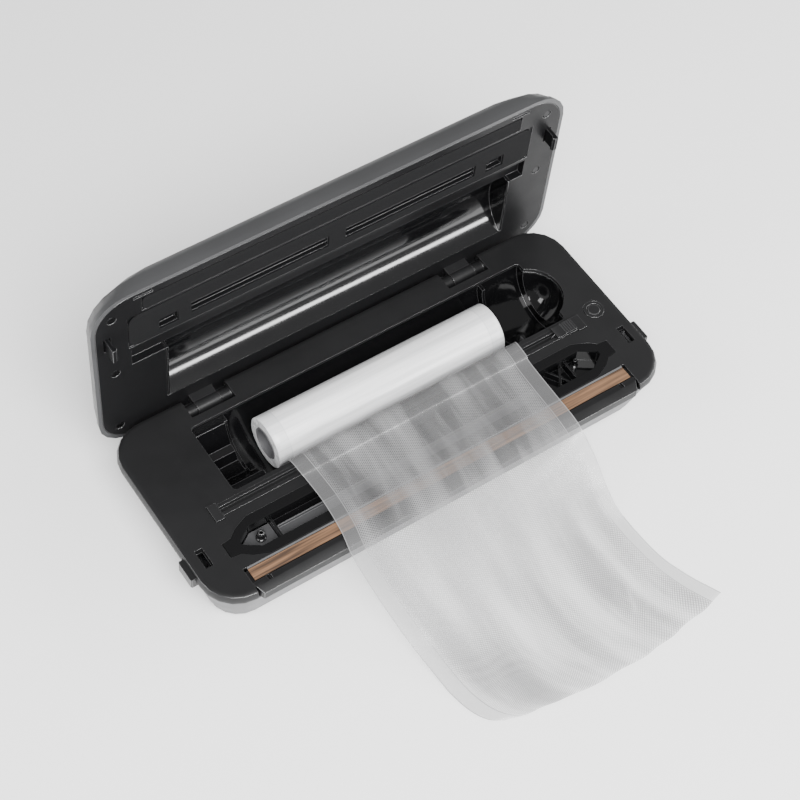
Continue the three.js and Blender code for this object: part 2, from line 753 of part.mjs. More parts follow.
function deckButtonRing() {
  const { x, y } = DECK_BUTTON;
  const flange = rodZ(7.85, x, y, DECK_TOP - 3, DECK_TOP + 0.4, 32);
  const cup = rodZ(7, x, y, DECK_TOP - 11, DECK_TOP - 2, 24);
  const bore = rodZ(BUTTON_R + FIT, x, y, BUTTON_FOOT - BUTTON_TRAVEL - 0.8, DECK_TOP + 1, 28);
  return cut(join(flange, cup), bore);
}

// ---------------------------------------------------------------- base: drive, wiring, feet
const PUMP = { y: GASKET_Y + 1, z: 18, x0: -62, x1: -12 };
const CRANK_X1 = PUMP.x1 + 5.2;

function pumpMotor() {
  const can = rodX(13.6, PUMP.x0, PUMP.x1, PUMP.y, PUMP.z, 24);
  const collar = rodX(5, PUMP.x0 - 3, PUMP.x0 + 1, PUMP.y, PUMP.z, 16);
  return cut(join(can, collar), rodX(1.5 + FIT, PUMP.x1 - 6, PUMP.x1 + 1, PUMP.y, PUMP.z, 12));
}

function pumpCrank() {
  return join(
    rodX(1.5, PUMP.x1 - 5, PUMP.x1 + 1.5, PUMP.y, PUMP.z, 12),
    rodX(8, PUMP.x1 + 1, CRANK_X1 - 1.5, PUMP.y, PUMP.z, 20),
    rodX(2.2, CRANK_X1 - 2, CRANK_X1 + 3, PUMP.y, PUMP.z + 4.5, 12),
  );
}

function pumpHead() {
  const x0 = CRANK_X1;
  const head = join(
    block(x0, x0 + 36, PUMP.y - 14, PUMP.y + 14, 4, 30),
    rodZ(3, x0 + 24, PUMP.y, 29, 32, 12),
  );
  return cut(head, rodX(10, x0 - 1, x0 + 6, PUMP.y, PUMP.z, 24));
}

// The air hose from the pump head to the underside of the chamber's intake.
function vacuumHose() {
  const r = 2.4;
  const route = new THREE.CatmullRomCurve3(
    [
      [CRANK_X1 + 10, PUMP.y - 14.4, 20],
      [CRANK_X1 + 10, PUMP.y - 20, 20],
      [PUMP.x0 + 30, PUMP.y - 22.5, 20],
      [PUMP.x0 - 20, PUMP.y - 20, 20],
      [NOZZLE.x + 20, NOZZLE.y - 4, 20],
      [NOZZLE.x + 1, NOZZLE.y, 25],
      [NOZZLE.x, NOZZLE.y, CHAMBER_BOTTOM - FIT],
    ].map((p) => new THREE.Vector3(...p)),
  );
  const section = new THREE.Shape();
  section.absarc(0, 0, r, 0, Math.PI * 2, false);
  return solidOf(
    new THREE.ExtrudeGeometry(section, { steps: 28, extrudePath: route, curveSegments: 4 }),
  );
}

const BOARD = { x0: 45, x1: 132, y0: PUMP.y - 20, y1: PUMP.y + 16, z: 7 };

function powerBoard() {
  const b = BOARD;
  return join(
    block(b.x0, b.x1, b.y0, b.y1, b.z, b.z + 1.6),
    block(b.x1 - 20, b.x1 - 8, b.y0 + 4, b.y0 + 16, b.z + 1, b.z + 14),
    rodZ(5, b.x1 - 14, b.y1 - 8, b.z + 1, b.z + 18, 14),
    block(b.x0 + 3, b.x0 + 11, b.y0 + 5, b.y1 - 5, b.z + 1, b.z + 9),
  );
}

function powerTransformer() {
  const b = BOARD;
  const z0 = b.z + 1.6 + FIT;
  return join(
    block(b.x0 + 16, b.x0 + 50, b.y0 + 7, b.y1 - 5, z0, z0 + 5),
    block(b.x0 + 20, b.x0 + 46, b.y0 + 4, b.y1 - 3, z0 + 2, z0 + 20),
  );
}

function powerInlet() {
  const { x, z, width, height } = INLET;
  const y1 = REAR - 1.4;
  const body = block(x - width / 2, x + width / 2, y1 - 18, y1, z - height / 2, z + height / 2);
  const hole = slab(roundedRect(x - 8, x + 8, z - 4.2, z + 4.2, 4), y1 - 14, y1 + 1);
  const pins = [-4, 4].map((dx) => {
    const pin = new THREE.CylinderGeometry(1.1, 1.1, 11, 10).translate(x + dx, y1 - 9, z);
    return solidOf(pin);
  });
  return join(cut(body, hole), ...pins);
}

function foot(place) {
  const [x, y] = footPlace(place);
  return join(rodZ(FOOT_R, x, y, -FOOT_STAND + 0.8, 1), rodZ(FOOT_R - 0.8, x, y, -FOOT_STAND, 0));
}

function screw(x, y, r, z0, headHigh, z1) {
  return join(rodZ(r * 2.2, x, y, z0, z0 + headHigh, 16), rodZ(r, x, y, z0 + 0.5, z1, 10));
}

// ---------------------------------------------------------------- film
function rollCore() {
  return cut(
    rodX(CORE_R - FIT, ROLL_X0, ROLL_X1, TROUGH_Y, ROLL_Z, 28),
    rodX(CORE_BORE_R, ROLL_X0 - 1, ROLL_X1 + 1, TROUGH_Y, ROLL_Z, 28),
  );
}

function filmRoll() {
  return cut(
    rodX(ROLL_R, ROLL_X0 + 0.4, ROLL_X1 - 0.4, TROUGH_Y, ROLL_Z, 40),
    rodX(CORE_R, ROLL_X0 - 1, ROLL_X1 + 1, TROUGH_Y, ROLL_Z, 28),
  );
}

// The pulled-out film: up from the roll, over the trough's edge, the cutter and the deck,
// over the sealing bar, and down in a slack curve on to the table.
const TABLE = -FOOT_STAND;
const FILM_LOW = DECK_TOP + 1.1;
const FILM_HIGH = SLIDER.top + 0.8;
const FILM_SKEW = 26; // how far right the free end has drifted
const FILM_PATH = [
  [TROUGH_Y - ROLL_R * 0.88 - 0.9, ROLL_Z - ROLL_R * 0.475 - 0.5],
  [TROUGH_Y0 + 3, DECK_TOP - 3],
  [TROUGH_Y0 + 0.7, FILM_HIGH - 1.4],
  [TROUGH_Y0 - 1.6, FILM_HIGH],
  [RAIL_Y0 - 0.6, FILM_HIGH],
  [RAIL_Y0 - 3.2, FILM_LOW + 0.4],
  [RAIL_Y0 - 5, FILM_LOW],
  [FRONT + 4, FILM_LOW],
  [FRONT - 4, FILM_LOW - 1.6],
  [FRONT - 14, DECK_TOP - 6],
  [FRONT - 30, DECK_TOP - 14],
  [FRONT - 50, DECK_TOP - 24],
  [FRONT - 70, DECK_TOP - 34],
  [FRONT - 90, DECK_TOP - 42.5],
  [FRONT - 108, TABLE + 3],
  [FRONT - 122, TABLE + FIT + FILM_THICK / 2],
  [FRONT - 150, TABLE + FIT + FILM_THICK / 2],
];

function filmSheet() {
  const normal = (i) => {
    const before = FILM_PATH[Math.max(i - 1, 0)];
    const after = FILM_PATH[Math.min(i + 1, FILM_PATH.length - 1)];
    const length = Math.hypot(after[0] - before[0], after[1] - before[1]);
    return [(after[1] - before[1]) / length, (before[0] - after[0]) / length];
  };
  const side = (sign) =>
    FILM_PATH.map(([y, z], i) => {
      const [ny, nz] = normal(i);
      return [y + (sign * ny * FILM_THICK) / 2, z + (sign * nz * FILM_THICK) / 2];
    });
  const outline = [...side(1), ...side(-1).reverse()];
  const sheet = extrude(polygon(outline), ROLL_WIDTH).applyMatrix4(ALONG_X).translate(ROLL_X0, 0, 0);
  const place = sheet.attributes.position;
  for (let i = 0; i < place.count; i++) {
    const out = Math.max(0, FRONT - place.getY(i)) / 150;
    place.setX(i, place.getX(i) + FILM_SKEW * out);
  }
  return solidOf(sheet);
}

// ---------------------------------------------------------------- lid
const LID_FRONT = FRONT - LID_FRONT_OVERHANG;
const LID_REAR = REAR + 1;
const BAY = { x0: TROUGH_X0, x1: TROUGH_X1 - 0.5, y0: TROUGH_Y0, y1: FRONT + 139.2, depth: 18.5, r: 37.35 };
const RAIL_GROOVE = { x: W - 29.5, y0: FRONT + 61.8, y1: TROUGH_Y0, depth: 6 };
const FOAM = { x: W - 28.2, y0: FRONT + 24.7, y1: FRONT + 58.5 };
const FOAM_HOLES = [
  { x0: 7.2, x1: W - 76.8, y0: FRONT + 39.1, y1: FRONT + 50.8 },
  { x0: W - 66.4, x1: W - 51.7, y0: FRONT + 41.4, y1: FRONT + 52.4 },
];
const PAD = { x: W - 39.7, y0: FRONT + 8.5, y1: FRONT + 21.8 };
const LID_SCREW_X = W - 16.4;
const LID_SCREW_YS = [FRONT + 17.9, FRONT + 81.1, FRONT + 148];
const CONTROL = { x: 70, y0: FRONT + 25, y1: FRONT + 49 };
const KEYS = [-45, -15, 15, 45];
const KEY_R = 6;
const KEY_TRAVEL = 0.8;
const KEY_FOOT = LID_TOP - 4.4;

function lidBody(inset) {
  const top = LID_TOP - inset;
  const round = LID_ROUND - inset;
  const edge = (z, pull) => {
    const x = W - inset - pull * 1.4;
    const r = CORNER_R - inset + pull * 2.4;
    return ring(z, -x, x, LID_FRONT + inset + pull, LID_REAR - inset - pull * 0.9, r);
  };
  const rings = [edge(LID_FACE - inset * 2, 0), edge(LID_FACE + 4, 0.4)];
  for (const share of [0, 0.25, 0.5, 0.75, 1]) {
    const turn = (share * Math.PI) / 2;
    rings.push(edge(top - round + round * Math.sin(turn), 0.9 + round * (1 - Math.cos(turn))));
  }
  return loft(rings);
}

function lidScrewPlaces() {
  return pair((side) => LID_SCREW_YS.map((y) => [side * LID_SCREW_X, y])).flat();
}

function lidCover() {
  const hollow = cut(lidBody(0), lidBody(LID_WALL));
  const lip = cut(
    plate(roundedRect(-W + 1, W - 1, LID_FRONT + 1, LID_REAR - 1, CORNER_R - 1), LID_FACE, LID_FACE + 2),
    plate(panelOutline(FIT), LID_FACE - 1, LID_FACE + 3),
  );
  const bosses = lidScrewPlaces().map(([x, y]) =>
    rodZ(4, x, y, LID_FACE + PANEL_THICK + 2 * FIT, LID_TOP, 14).intersect(lidBody(0.5)),
  );
  const c = CONTROL;
  return cut(
    join(hollow, lip, ...bosses),
    ...lidScrewPlaces().map(([x, y]) => rodZ(1.4 + FIT, x, y, LID_FACE, LID_FACE + 10, 12)),
    block(-c.x - FIT, c.x + FIT, c.y0 - FIT, c.y1 + FIT, LID_TOP - 1.3 - FIT, LID_TOP + 1),
    ...KEYS.map((x) => rodZ(KEY_R - 1, x, (c.y0 + c.y1) / 2, LID_TOP - 5, LID_TOP + 1, 16)),
  );
}

function panelOutline(grow) {
  const lip = LID_LIP - grow;
  return roundedRect(-W + lip, W - lip, LID_FRONT + lip, LID_REAR - lip, CORNER_R - lip + 2);
}

function armNotch(side, grow) {
  const [x0, x1] = span(side, ARM.x0 - grow, ARM.x1 + grow);
  return block(x0, x1, ARM.y0 - grow, ARM.y1 + grow, LID_FACE - 1, LID_FACE + PANEL_THICK + 1);
}

function bayShape(wall) {
  const centreZ = LID_FACE + BAY.depth - BAY.r;
  return rodX(BAY.r + wall, BAY.x0 - wall, BAY.x1 + wall, TROUGH_Y - 2.95, centreZ, 64);
}

// The black moulding that closes the lid's underside, with its foam seat, slots and openings.
function lidInnerPanel() {
  const z0 = LID_FACE;
  const z1 = LID_FACE + PANEL_THICK;
  const g = RAIL_GROOVE;
  const flat = plate(panelOutline(0), z0, z1);
  const grooveBox = block(-g.x - 1.5, g.x + 1.5, g.y0 - 1.5, g.y1 + 1.5, z0 + 1, z0 + g.depth + 1.5);
  const channel = FOAM_HOLES.flatMap((h) =>
    pair((side) => block(...span(side, h.x0 - 1, h.x1 + 1), h.y0 - 1, h.y1 + 1, z0 + 1, z0 + 6)),
  );
  const channelHollow = FOAM_HOLES.flatMap((h) =>
    pair((side) => block(...span(side, h.x0, h.x1), h.y0, h.y1, z0 - 1, z0 + 5)),
  );
  const ribs = pair((side) =>
    [3.5, 7.5].map((dy) => {
      const h = FOAM_HOLES[0];
      const y = h.y0 + dy;
      return block(...span(side, h.x0 - 0.5, h.x1 + 0.5), y, y + 1.2, z0 + 2, z0 + 5.5);
    }),
  ).flat();
  const slotX = 2.6;
  return cut(
    join(
      cut(
        join(flat, grooveBox, ...channel),
        block(-g.x, g.x, g.y0, g.y1, z0 - 1, z0 + g.depth),
        ...channelHollow,
      ),
      ...ribs,
    ),
    block(BAY.x0 - 1.8 - FIT, BAY.x1 + 1.8 + FIT, BAY.y0 - FIT, BAY.y1 + FIT, z0 - 1, z0 + 12),
    block(-FOAM.x - FIT, FOAM.x + FIT, FOAM.y0 - FIT, FOAM.y1 + FIT, z0 - 1, z0 + 1.2),
    block(-PAD.x - FIT, PAD.x + FIT, PAD.y0 - FIT, PAD.y1 + FIT, z0 - 1, z0 + 1.5),
    ...pair((side) =>
      block(...span(side, W - 48.1, W - 33.7), LID_FRONT + 6.2, LID_FRONT + 8.2, z0 - 1, z0 + 1.2),
    ),
    ...pair((side) =>
      block(
        ...span(side, LATCH_X - 2.4 - FIT, LATCH_X + slotX + FIT),
        LATCH_Y - 6.6 - FIT,
        LATCH_Y + 6.6 + FIT,
        z0 - 1,
        z1 + 1,
      ),
    ),
    ...lidScrewPlaces().map(([x, y]) => rodZ(3.5, x, y, z0 - 1, z0 + 1.9, 16)),
    ...lidScrewPlaces().map(([x, y]) => rodZ(1.4 + FIT, x, y, z0 - 1, z1 + 1, 12)),
    ...pair((side) => armNotch(side, FIT)),
  );
}

// The polished half-round bay that the upper part of the roll reaches into.
function lidRollBay() {
  const keep = block(BAY.x0 - 1.8, BAY.x1 + 1.8, BAY.y0, BAY.y1, LID_FACE, LID_FACE + 40);
  return cut(bayShape(1.6).intersect(keep), bayShape(0));
}

function upperFoam() {
  const z0 = LID_FACE - 0.4;
  const z1 = LID_FACE + 1.2 - FIT;
  const f = FOAM;
  const pad = plate(roundedRect(-f.x, f.x, f.y0, f.y1, 8.4), z0, z1, 4);
  const holes = FOAM_HOLES.flatMap((h) =>
    pair((side) => block(...span(side, h.x0, h.x1), h.y0, h.y1, z0 - 1, z1 + 1)),
  );
  return cut(pad, ...holes);
}

function pressingStrip() {
  const p = PAD;
  return plate(roundedRect(-p.x, p.x, p.y0, p.y1, 4), LID_FACE - 0.4, LID_FACE + 1.5 - FIT, 4);
}

// A hook that reaches down through the deck's slot; its tooth points to the middle of the machine.
function latchHook(side) {
  const tip = LID_FACE - 10.8;
  const foot = LID_FACE + PANEL_THICK + FIT;
  const outline = [
    [LATCH_X - 1.2, foot],
    [LATCH_X - 1.2, tip + 3.6],
    [LATCH_X - 2.35, tip + 2.8],
    [LATCH_X - 2.35, tip + 1.4],
    [LATCH_X - 0.9, tip],
    [LATCH_X + 1.7, tip],
    [LATCH_X + 1.9, foot],
    [LATCH_X + 5, foot],
    [LATCH_X + 5, foot + 2],
    [LATCH_X - 5, foot + 2],
    [LATCH_X - 5, foot],
  ].map(([x, z]) => [side * x, z]);
  return slab(polygon(outline), LATCH_Y - 6.55, LATCH_Y + 6.55);
}

// The arm that carries one side of the lid on its hinge pin.
function hingeArm(side) {
  const top = LID_FACE + PANEL_THICK + FIT;
  const [x0, x1] = span(side, ARM.x0, ARM.x1);
  const body = join(
    rodX(HINGE_BARREL_R, x0, x1, HINGE_Y, HINGE_Z, 28),
    block(x0, x1, ARM.y0, ARM.y1, HINGE_Z, top + 1),
    block(x0 - 3, x1 + 3, HINGE_Y - 9, HINGE_Y + 0.4, top, top + 2.2),
  );
  return cut(body, rodX(PIN_R + FIT, x0 - 1, x1 + 1, HINGE_Y, HINGE_Z, 16));
}

function controlPanel() {
  const c = CONTROL;
  return cut(
    plate(roundedRect(-c.x, c.x, c.y0, c.y1, 4), LID_TOP - 1.3, LID_TOP + 0.2, 4),
    ...KEYS.map((x) => rodZ(KEY_R + FIT, x, (c.y0 + c.y1) / 2, LID_TOP - 2, LID_TOP + 1, 20)),
  );
}

function controlKey(x) {
  const y = (CONTROL.y0 + CONTROL.y1) / 2;
  return join(
    rodZ(KEY_R, x, y, LID_TOP - 0.6 + FIT, LID_TOP + 0.7, 20),
    rodZ(KEY_R - 1.4, x, y, KEY_FOOT, LID_TOP, 14),
  );
}

function controlBoard() {
  const c = CONTROL;
  const z = LID_TOP - 8;
  const y = (c.y0 + c.y1) / 2;
  const switches = KEYS.map((x) => block(x - 3, x + 3, y - 3, y + 3, z + 1, KEY_FOOT - KEY_TRAVEL - 0.4));
  return join(block(-c.x + 5, c.x - 5, c.y0 + 2, c.y1 - 2, z, z + 1.4), ...switches);
}

// ---------------------------------------------------------------- everything in its place
add(machine, "base_shell", baseShell(), shellGrey);
add(machine, "deck", deck(), matteBlack);
add(machine, "roll_trough", rollTrough(), glossBlack);
add(machine, "heater_bar", heaterBar(), matteBlack);
const TAPE_TOP = DECK_TOP + 0.2;
const TAPE_BOTTOM = TAPE_TOP - 0.7;
const ELEMENT_HALF = STRIP_HALF - 2;
add(
  machine,
  "heater_element",
  block(-ELEMENT_HALF, ELEMENT_HALF, STRIP_FRONT + 2.6, STRIP_REAR - 2.6, SEAT_TOP + FIT, TAPE_BOTTOM - FIT),
  steel,
);
add(
  machine,
  "heater_tape",
  block(-STRIP_HALF, STRIP_HALF, STRIP_FRONT, STRIP_REAR - 0.4, TAPE_BOTTOM, TAPE_TOP),
  copperTape,
);
add(
  machine,
  "edge_trim",
  block(-STRIP_HALF, STRIP_HALF, STRIP_REAR, STRIP_REAR + 1.4, DECK_TOP - 2, DECK_TOP + 0.3),
  steel,
);
add(machine, "lower_gasket", lowerGasket(), softBlack);
add(machine, "vacuum_chamber", vacuumChamber(), matteBlack);
add(
  machine,
  "intake_plate",
  cut(intakePlate(), rodZ(1.6, NOZZLE.x, NOZZLE.y, 30, 40, 12)),
  partGrey,
);
add(machine, "vacuum_nozzle", nozzle(NOZZLE, 2.9, CHAMBER_FLOOR + 1 + 2 * FIT, DECK_TOP - 2.5), glossBlack);
add(machine, "drip_tray", dripTray(), partGrey);
add(machine, "cutter_rail", cutterRail(), partGrey);
add(machine, "rail_cap", railEnd(RAIL_CAP), partGrey);
add(machine, "rail_end", railEnd(RAIL_END), matteBlack);
add(machine, "cutter_slider", cutterSlider(), matteBlack);
add(machine, "cutter_blade", cutterBlade(), steel);
add(machine, "deck_button", deckButton(), matteBlack);
add(machine, "deck_button_ring", deckButtonRing(), matteBlack);
for (const [word, side] of SIDES) {
  add(machine, "latch_button_" + word, latchButton(side), matteBlack);
  add(machine, "latch_switch_" + word, latchSwitch(side), softBlack);
  add(machine, "hinge_pin_" + word, pinBore(side, 0), steel);
}
add(machine, "pump_motor", pumpMotor(), steel);
add(machine, "pump_crank", pumpCrank(), steel);
add(machine, "pump_head", pumpHead(), partGrey);
add(machine, "vacuum_hose", vacuumHose(), rubber);
add(machine, "power_board", powerBoard(), boardGreen);
add(machine, "power_transformer", powerTransformer(), steel);
add(machine, "power_inlet", powerInlet(), softBlack);
FEET.forEach((place, i) => add(machine, "foot_" + (i + 1), foot(place), rubber));
add(machine, "roll_core", rollCore(), partGrey);
add(machine, "film_roll", filmRoll(), clearWhite);
add(machine, "film_sheet", filmSheet(), clearWhite);

add(lid, "lid_cover", lidCover(), lidGrey);
add(lid, "lid_inner_panel", lidInnerPanel(), matteBlack);
add(lid, "lid_roll_bay", lidRollBay(), glossBlack);
add(lid, "upper_foam", upperFoam(), softBlack);
add(lid, "pressing_strip", pressingStrip(), softBlack);
for (const [word, side] of SIDES) {
  add(lid, "latch_hook_" + word, latchHook(side), matteBlack);
  add(lid, "hinge_arm_" + word, hingeArm(side), partGrey);
}
lidScrewPlaces().forEach(([x, y], i) => {
  add(lid, "lid_screw_" + (i + 1), screw(x, y, 1.4, LID_FACE + 0.3, 1.4, LID_FACE + 9), steel);
});
add(lid, "control_panel", controlPanel(), glossBlack);
KEYS.forEach((x, i) => add(lid, "control_key_" + (i + 1), controlKey(x), partGrey));
add(lid, "control_board", controlBoard(), boardGreen);

export default machine;
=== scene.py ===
# %% [markdown]
# A tabletop vacuum sealer with its lid open, a roll of bag film in its trough,
# and the film pulled over the sealing bar and down on to the table.
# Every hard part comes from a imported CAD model, already in its place and in metres.
# This script gives those parts their finishes, and makes the film, which CAD holds only roughly.
# +X is to the right, +Y to the rear, +Z up. The base's underside is at z = 0.

import json
import math

import bmesh
import bpy
from mathutils import Euler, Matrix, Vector, noise


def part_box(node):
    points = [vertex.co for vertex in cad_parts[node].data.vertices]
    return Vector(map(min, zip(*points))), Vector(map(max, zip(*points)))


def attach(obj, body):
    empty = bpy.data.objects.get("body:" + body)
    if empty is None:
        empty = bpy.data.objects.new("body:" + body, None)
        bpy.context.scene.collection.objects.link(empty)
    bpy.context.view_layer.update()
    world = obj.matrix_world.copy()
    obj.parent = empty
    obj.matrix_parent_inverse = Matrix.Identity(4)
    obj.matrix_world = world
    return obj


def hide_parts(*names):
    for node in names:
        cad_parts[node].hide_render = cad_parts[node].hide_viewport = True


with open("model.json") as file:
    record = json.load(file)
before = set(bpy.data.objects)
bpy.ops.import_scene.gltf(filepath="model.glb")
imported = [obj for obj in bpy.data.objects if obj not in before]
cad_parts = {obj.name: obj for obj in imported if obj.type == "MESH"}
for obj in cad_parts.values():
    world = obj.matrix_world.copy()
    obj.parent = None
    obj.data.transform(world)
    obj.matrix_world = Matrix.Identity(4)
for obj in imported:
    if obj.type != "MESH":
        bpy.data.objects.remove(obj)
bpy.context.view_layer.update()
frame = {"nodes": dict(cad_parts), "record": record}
nodes = frame["nodes"]
MM = 0.001

# %% [markdown]
# The camera comes first, because everything is judged through it.
# A long lens stands well back and above the front left corner, which keeps the long sides
# of the sealer nearly parallel. It is turned a few degrees, so the deck seems to climb to the right.

# %% Camera
CAMERA_PLACE = Vector((-0.5090, -0.6583, 1.2546))
CAMERA_TURN = Euler([math.radians(a) for a in (34.561, -2.987, -33.707)])

camera = bpy.data.objects.new("camera", bpy.data.cameras.new("camera"))
camera.data.lens = 90.63
camera.data.sensor_width = 36
camera.data.clip_end = 20
camera.location = CAMERA_PLACE
camera.rotation_euler = CAMERA_TURN
bpy.context.scene.collection.objects.link(camera)
bpy.context.scene.camera = camera
print("camera at", tuple(round(v, 3) for v in camera.location))

# %% [markdown]
# A product set is a pale sweep. One large matt plane stands for it, just under the feet.

# %% Floor
FLOOR_GAP = 0.2 * MM
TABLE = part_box("foot_1")[0].z


def plain_floor():
    bpy.ops.mesh.primitive_plane_add(size=8, location=(0, 0, TABLE - FLOOR_GAP))
    floor = bpy.context.object
    floor.name = "floor"
    paint = bpy.data.materials.new("pale floor")
    paint.use_nodes = True
    shader = paint.node_tree.nodes["Principled BSDF"]
    shader.inputs["Base Color"].default_value = (0.93, 0.93, 0.93, 1)
    shader.inputs["Roughness"].default_value = 0.9
    shader.inputs["Specular IOR Level"].default_value = 0.1
    floor.data.materials.append(paint)
    return floor


plain_floor()
print("floor at", round(TABLE, 4))

# %% [markdown]
# Glossy black plastic shows nothing of its own, only what it mirrors, so the lights are large soft
# panels. One long low strip draws the bright streak in the lid's bay.

# %% Lights


def soft_panel(name, place, aim, width, height, watts):
    light = bpy.data.lights.new(name, "AREA")
    light.shape = "RECTANGLE"
    light.size = width
    light.size_y = height
    light.energy = watts
    panel = bpy.data.objects.new(name, light)
    panel.location = place
    panel.rotation_euler = (Vector(aim) - Vector(place)).to_track_quat("-Z", "Y").to_euler()
    bpy.context.scene.collection.objects.link(panel)
    return panel


world = bpy.data.worlds.new("studio")
world.use_nodes = True
world.node_tree.nodes["Background"].inputs["Color"].default_value = (1, 1, 1, 1)
world.node_tree.nodes["Background"].inputs["Strength"].default_value = 0.4
bpy.context.scene.world = world
soft_panel("over the front", (-0.5, -1.3, 1.9), (0, 0, 0), 1.6, 1.2, 120)
soft_panel("left side", (-1.7, 0.3, 1.0), (0, 0, 0.05), 0.9, 0.9, 22)
soft_panel("right side", (1.5, -0.3, 0.8), (0, 0, 0.05), 0.9, 0.6, 16)
soft_panel("long low strip", (0.55, -1.4, 0.5), (0, 0.05, 0.1), 2.4, 0.2, 44)
print("four panels and an even sky")

# %% [markdown]
# Moulded plastic is one colour all through. What makes it look real is small:
# a spark-eroded grain in the tool, and a slow drift in sheen from the way the melt flowed.
# One helper builds both from noise in metres. The edges are rounded later, in the mesh itself.

# %% Plastic


def new_material(name):
    material = bpy.data.materials.new(name)
    material.use_nodes = True
    tree = material.node_tree
    return material, tree, tree.nodes["Principled BSDF"]


def add_noise(tree, scale, detail=4, stretch=(1, 1, 1)):
    """Noise in metres, so scale is in features per metre."""
    place = tree.nodes.new("ShaderNodeTexCoord")
    spread = tree.nodes.new("ShaderNodeMapping")
    spread.inputs["Scale"].default_value = stretch
    grain = tree.nodes.new("ShaderNodeTexNoise")
    grain.inputs["Scale"].default_value = scale
    grain.inputs["Detail"].default_value = detail
    tree.links.new(place.outputs["Object"], spread.inputs["Vector"])
    tree.links.new(spread.outputs["Vector"], grain.inputs["Vector"])
    return grain.outputs["Fac"]


def add_range(tree, source, low, high, from_low=0.3, from_high=0.7):
    step = tree.nodes.new("ShaderNodeMapRange")
    step.inputs["From Min"].default_value = from_low
    step.inputs["From Max"].default_value = from_high
    step.inputs["To Min"].default_value = low
    step.inputs["To Max"].default_value = high
    tree.links.new(source, step.inputs["Value"])
    return step.outputs["Result"]


def add_mix(tree, factor, first, second):
    mix = tree.nodes.new("ShaderNodeMix")
    mix.data_type = "RGBA"
    mix.inputs["A"].default_value = (*first, 1)
    mix.inputs["B"].default_value = (*second, 1)
    tree.links.new(factor, mix.inputs["Factor"])
    return mix.outputs["Result"]


def add_bump(tree, height, strength, distance):
    bump = tree.nodes.new("ShaderNodeBump")
    bump.inputs["Strength"].default_value = strength
    bump.inputs["Distance"].default_value = distance
    tree.links.new(height, bump.inputs["Height"])
    return bump.outputs["Normal"]


def plastic(name, colour, roughness, grain=0.2, shine=0.35, drift=0.12):
    """Moulded plastic: grain is the depth of its texture, shine its specular level."""
    material, tree, shader = new_material(name)
    shader.inputs["Specular IOR Level"].default_value = shine
    slow = add_noise(tree, 14, 3)
    darker = [c * (1 - drift) for c in colour]
    lighter = [min(1, c * (1 + drift)) for c in colour]
    tree.links.new(add_mix(tree, add_range(tree, slow, 0, 1), darker, lighter), shader.inputs["Base Color"])
    uneven = add_range(tree, add_noise(tree, 60, 5), roughness * 0.88, roughness * 1.12)
    tree.links.new(uneven, shader.inputs["Roughness"])
    fine = add_noise(tree, 2600, 2)
    tree.links.new(add_bump(tree, fine, grain, 0.00012), shader.inputs["Normal"])
    return material


FINISH = {
    "shell": plastic("grey shell", (0.085, 0.085, 0.089), 0.42, 0.25, 0.4),
    "deck": plastic("satin black", (0.0085, 0.0085, 0.0089), 0.34, 0.2),
    "lid": plastic("grey lid", (0.045, 0.0455, 0.047), 0.42, 0.3, 0.4),
    "inner": plastic("satin black lid panel", (0.005, 0.005, 0.0054), 0.36, 0.15, 0.14),
    "gloss": plastic("polished black", (0.003, 0.003, 0.0033), 0.09, 0.02, 0.5),
    "bay": plastic("polished black bay", (0.003, 0.003, 0.0033), 0.11, 0.01, 0.8),
    "part": plastic("dark fittings", (0.0095, 0.0095, 0.01), 0.36, 0.15, 0.4),
    "fitting": plastic("grey fittings", (0.1, 0.1, 0.104), 0.4, 0.2, 0.4),
    "tray": plastic("grey tray", (0.05, 0.05, 0.052), 0.4, 0.1, 0.4),
    # The two edge finishes are painted lighter than the plastics they border: a painted highlight on the
    # rounding, on top of its real gloss.
    "black edge": plastic("glossy black rounding, painted highlight", (0.03, 0.03, 0.031), 0.16, 0.02, 0.9),
    "grey edge": plastic("glossy grey rounding, painted highlight", (0.11, 0.11, 0.114), 0.25, 0.1, 0.6),
    "dark": plastic("dark bar", (0.006, 0.006, 0.0063), 0.4, 0.25, 0.25),
}
print(len(FINISH), "plastics")

# %% [markdown]
# The soft parts are closed-cell foam and rubber. Foam scatters light from a skin of tiny cells,
# so it is very rough, with a fine pitted bump, and has no highlight to speak of.

# %% Foam and rubber


def foam(name, colour, cell, roughness=0.92):
    material, tree, shader = new_material(name)
    cells = tree.nodes.new("ShaderNodeTexVoronoi")
    cells.inputs["Scale"].default_value = cell
    place = tree.nodes.new("ShaderNodeTexCoord")
    tree.links.new(place.outputs["Object"], cells.inputs["Vector"])
    pale = [min(1, c * 1.5) for c in colour]
    tree.links.new(add_mix(tree, cells.outputs["Distance"], colour, pale), shader.inputs["Base Color"])
    shader.inputs["Roughness"].default_value = roughness
    shader.inputs["Specular IOR Level"].default_value = 0.12
    tree.links.new(
        add_bump(tree, cells.outputs["Distance"], 0.35, 0.0002),
        shader.inputs["Normal"],
    )
    return material


FINISH["gasket"] = foam("gasket foam", (0.0022, 0.0022, 0.0024), 1800)
FINISH["pad"] = foam("lid foam", (0.0035, 0.0035, 0.0038), 1500, 0.8)
FINISH["rubber"] = foam("rubber", (0.012, 0.012, 0.012), 900, 0.75)
print("foam and rubber")

# %% [markdown]
# Bare metal shows in the bright edging behind the sealing tape, the pins, the screws and the motor can.
# Drawn or turned metal has hair-fine lines along its length: noise stretched far along X gives them.

# %% Metal


def metal(name, colour, roughness, stretch=(0.02, 1, 1)):
    material, tree, shader = new_material(name)
    lines = add_noise(tree, 1600, 3, stretch)
    tree.links.new(add_range(tree, lines, roughness * 0.7, roughness * 1.4), shader.inputs["Roughness"])
    shader.inputs["Base Color"].default_value = (*colour, 1)
    shader.inputs["Metallic"].default_value = 1
    tree.links.new(add_bump(tree, lines, 0.08, 0.0001), shader.inputs["Normal"])
    return material


